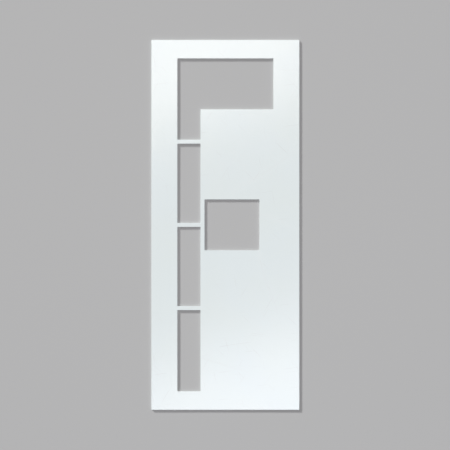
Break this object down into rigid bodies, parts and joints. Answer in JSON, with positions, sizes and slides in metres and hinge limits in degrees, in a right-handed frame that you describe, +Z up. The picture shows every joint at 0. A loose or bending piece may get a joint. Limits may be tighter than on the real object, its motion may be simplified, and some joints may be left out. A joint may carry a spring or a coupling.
{
  "type": "road marking stencil",
  "caption": "Flat white plastic sheet with a capital letter cut through it in windows parted by narrow bridges, laid on pavement so that the letter can be painted as a road marking.",
  "frame": {"origin": "centre of the sheet's underside, where it lies on the pavement", "axes": "+X across the letter to its reading right, +Y up the letter to its top arm, +Z up out of the sheet"},
  "size_m": [0.4064, 1.016, 0.0032],
  "materials": {
    "white_polyethylene": "natural white polyethylene sheet, satin and slightly waxy, with routed edges"
  },
  "bodies": {
    "root": {"stencil_sheet": "white_polyethylene", "upper_stem_bridge": "white_polyethylene", "middle_stem_bridge": "white_polyethylene", "lower_stem_bridge": "white_polyethylene", "arm_bridge": "white_polyethylene"}
  },
  "joints": []
}
